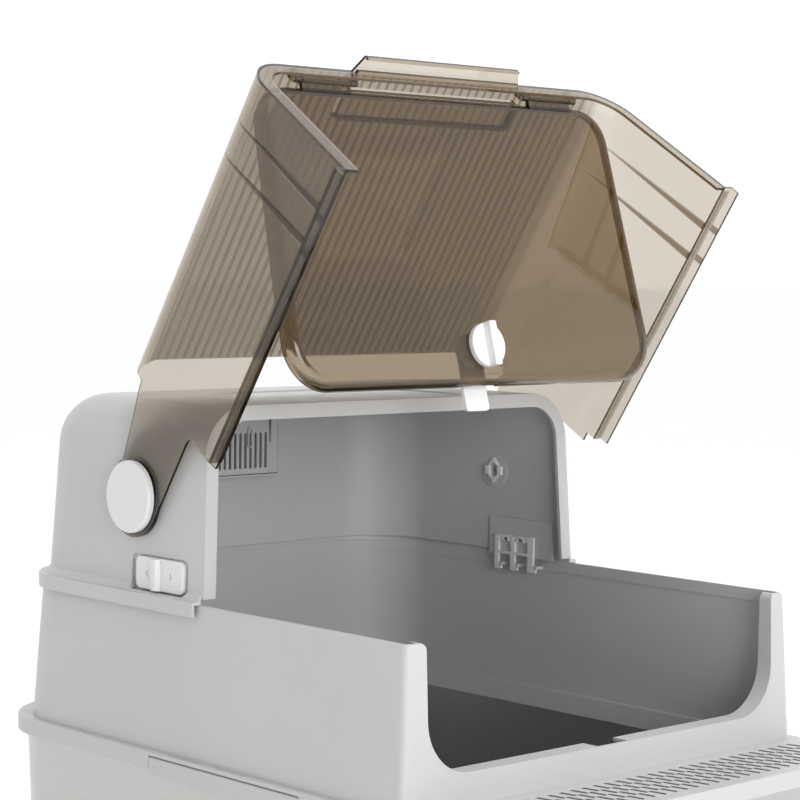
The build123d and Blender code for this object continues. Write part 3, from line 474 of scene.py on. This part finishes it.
def add_tube(mesh, near, far):
    """The pin's tube round the visor's pivot."""
    inner, outer = PIN_RADII
    loops = []
    for index in range(PIN_STEPS):
        angle = 2 * pi * index / PIN_STEPS
        loops.append([
            mesh.verts.new((x, PIVOT_Y + radius * cos(angle), PIVOT_Z + radius * sin(angle)))
            for x, radius in ((near, inner), (near, outer), (far, outer), (far, inner))
        ])
    for one, other in zip(loops, loops[1:] + loops[:1]):
        join_loops(mesh, one, other)


def add_snap_pin(side, hand):
    """Hollow pivot pin with four snap fingers inside the hood."""
    tube_start, tube_end = PIN_TUBE_X
    mesh = bmesh.new()
    add_tube(mesh, hand * tube_start, hand * tube_end)
    for outline in (SNAP_POINT, SNAP_BLOCK):
        for turn in (1, -1):
            placed = [(PIVOT_Y + turn * y, PIVOT_Z + turn * z) for y, z in outline]
            add_prism(mesh, placed, hand * PIN_HEAD_X, hand * (tube_start + PIN_OVERLAP))
    pin = finished("snap_pin_" + side, mesh, "pale_plastic", "visor", PIN_EDGE)
    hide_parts("pivot_pin_" + side)


# ---------------------------------------------------------------- chevrons on the latch pads
MARK_OFF = 0.015                  # from the pad's middle to each chevron's
MARK_REACH = 0.0024
MARK_WIDTH = 0.00098              # of an arm, along Y
MARK_DEPTH = 0.00012              # proud of the pad's face, and as deep in it
MARK_EDGE = 0.00003
OUTSIDE_X = 0.3                   # clear of the whole box


def add_marks(side, hand):
    """A plain chevron on each half of a latch pad, pointing away from its middle."""
    pad = NODES["hood_latch_pad_" + side]
    pad_middle = sum(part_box(pad.name), Vector()) / 2
    height = pad_middle.z
    mesh = bmesh.new()
    for way in (-1, 1):
        middle = pad_middle.y + way * MARK_OFF
        start = Vector((hand * OUTSIDE_X, middle, height))
        _, place, _, _ = pad.ray_cast(start, Vector((-hand, 0, 0)))
        tip = middle + way * MARK_REACH / 2
        tail = middle - way * MARK_REACH / 2
        back = way * MARK_WIDTH
        for up in (1, -1):
            end = height + up * MARK_REACH
            arm = [(tip, height), (tail, end), (tail - back, end), (tip - back, height)]
            add_prism(mesh, arm, place.x - hand * MARK_DEPTH, place.x + hand * MARK_DEPTH)
    finished("pad_marks_" + side, mesh, "mark_grey", "hood_latch_" + side, MARK_EDGE)


# ---------------------------------------------------------------- painted shade inlays and ridges at the step's slots
# Half width, half length, and how far each stands proud of the step and sits in it
# Dark inlays over the slots are painted shade for the dark inside them
SHADE_INLAY_SIZES = (0.0014, 0.0068, 0.00006)
RIDGE_SIZES = (0.0004, 0.006, 0.0004)
RIDGE_OFF = 0.0019                # from the slot's middle to the ridge's


def add_bars(name, material, off, sizes):
    """A low bar at each slot of the step, moved off its middle to the right by off; dark bars
    there are painted shade over the slots.
    """
    half_width, half_length, proud = sizes
    along = Vector((-sin(SLOT_SLANT), cos(SLOT_SLANT), 0))
    across = Vector((cos(SLOT_SLANT), sin(SLOT_SLANT), 0))
    rise = Vector((0, 0, proud))
    corners = [
        across * off + along * half_length * end + across * half_width * edge
        for end, edge in ((-1, -1), (-1, 1), (1, 1), (1, -1))
    ]
    mesh = bmesh.new()
    for row in range(SLOT_ROWS):
        y = SLOT_FIRST_Y + row * SLOT_ROW_PITCH
        shift = (row % 2 - 0.5) * SLOT_PITCH / 2
        for index in range(SLOT_COUNT):
            x = (index - (SLOT_COUNT - 1) / 2) * SLOT_PITCH + shift
            outline = [Vector((x, y, STEP_TOP)) + corner for corner in corners]
            add_solid(mesh, [p - rise for p in outline], [p + rise for p in outline])
    finished(name, mesh, material, "collar", proud / 3)


# ---------------------------------------------------------------- floor
FLOOR_SIZE = 80.0
FLOOR_TONES = (0.975, 0.985)


def add_floor():
    """Plain white paper, with its edges out of sight."""
    mesh = bpy.data.meshes.new("floor")
    half = FLOOR_SIZE / 2
    corners = [(-half, -half, 0), (half, -half, 0), (half, half, 0), (-half, half, 0)]
    mesh.from_pydata(corners, [], [(0, 1, 2, 3)])
    floor = bpy.data.objects.new("floor", mesh)
    bpy.context.scene.collection.objects.link(floor)
    tree, shader = new_material("floor_paper")
    tone = grey_ramp(tree, noise(tree, scale=3.0, detail=2.0), *FLOOR_TONES)
    tree.links.new(tone, shader.inputs["Base Color"])
    shader.inputs["Roughness"].default_value = 0.9
    mesh.materials.append(MATERIALS["floor_paper"])


# ---------------------------------------------------------------- light
WORLD_LEVEL = 1.15
WORLD_OVERHEAD = 1.4
WORLD_NEAR = 0.1                  # on the side that the photo is taken from
OVERHEAD_FADE = (0.15, 1.0)       # upward part of a direction
NEAR_FADE = (0.1, -0.8)           # part of a direction along the camera's, level
LAMP_TARGET = (0, -0.1, 0.3)


def add_world():
    """White studio: brighter overhead, dimmer on the photo's side."""
    world = bpy.data.worlds.new("studio")
    world.use_nodes = True
    tree = world.node_tree
    background = tree.nodes["Background"]
    background.inputs["Color"].default_value = (1, 1, 1, 1)
    across, depth, height = axes_of(tree, "Generated")
    overhead = share_from(tree, height, *OVERHEAD_FADE)
    rise = maths(tree, "MULTIPLY", overhead, WORLD_OVERHEAD - WORLD_LEVEL)
    ahead = maths(
        tree, "ADD",
        maths(tree, "MULTIPLY", across, sin(CAMERA_YAW)),
        maths(tree, "MULTIPLY", depth, cos(CAMERA_YAW)),
    )
    near = share_from(tree, ahead, *NEAR_FADE)
    dimming = maths(tree, "MULTIPLY", near, WORLD_NEAR - WORLD_LEVEL)
    strength = maths(tree, "ADD", maths(tree, "ADD", rise, dimming), WORLD_LEVEL)
    tree.links.new(strength, background.inputs["Strength"])
    bpy.context.scene.world = world


def add_softbox(name, place, width, height, watts):
    """A rectangular lamp that looks at the middle of the box."""
    data = bpy.data.lights.new(name, "AREA")
    data.shape = "RECTANGLE"
    data.size = width
    data.size_y = height
    data.energy = watts
    light = bpy.data.objects.new(name, data)
    light.location = place
    aim = Vector(LAMP_TARGET) - Vector(place)
    light.rotation_euler = aim.to_track_quat("-Z", "Y").to_euler()
    bpy.context.scene.collection.objects.link(light)


# ---------------------------------------------------------------- the scene
add_camera()
add_materials()
finish_nodes()
for side, hand in SIDES:
    add_snap_pin(side, hand)
    add_marks(side, hand)
# dark inlays over the slots, painted shade for their dark inside; light ridges beside them
add_bars("slot_shade_inlays", "painted_slot_shade", 0.0, SHADE_INLAY_SIZES)
add_bars("slot_ridges", "grey_plastic", RIDGE_OFF, RIDGE_SIZES)
add_floor()
add_world()
add_softbox("key", place=(-0.7, -2.4, 0.85), width=1.4, height=1.0, watts=34)
add_softbox("top", place=(0.2, -1.3, 2.6), width=1.6, height=1.6, watts=16)
bpy.context.scene.view_settings.view_transform = "Standard"
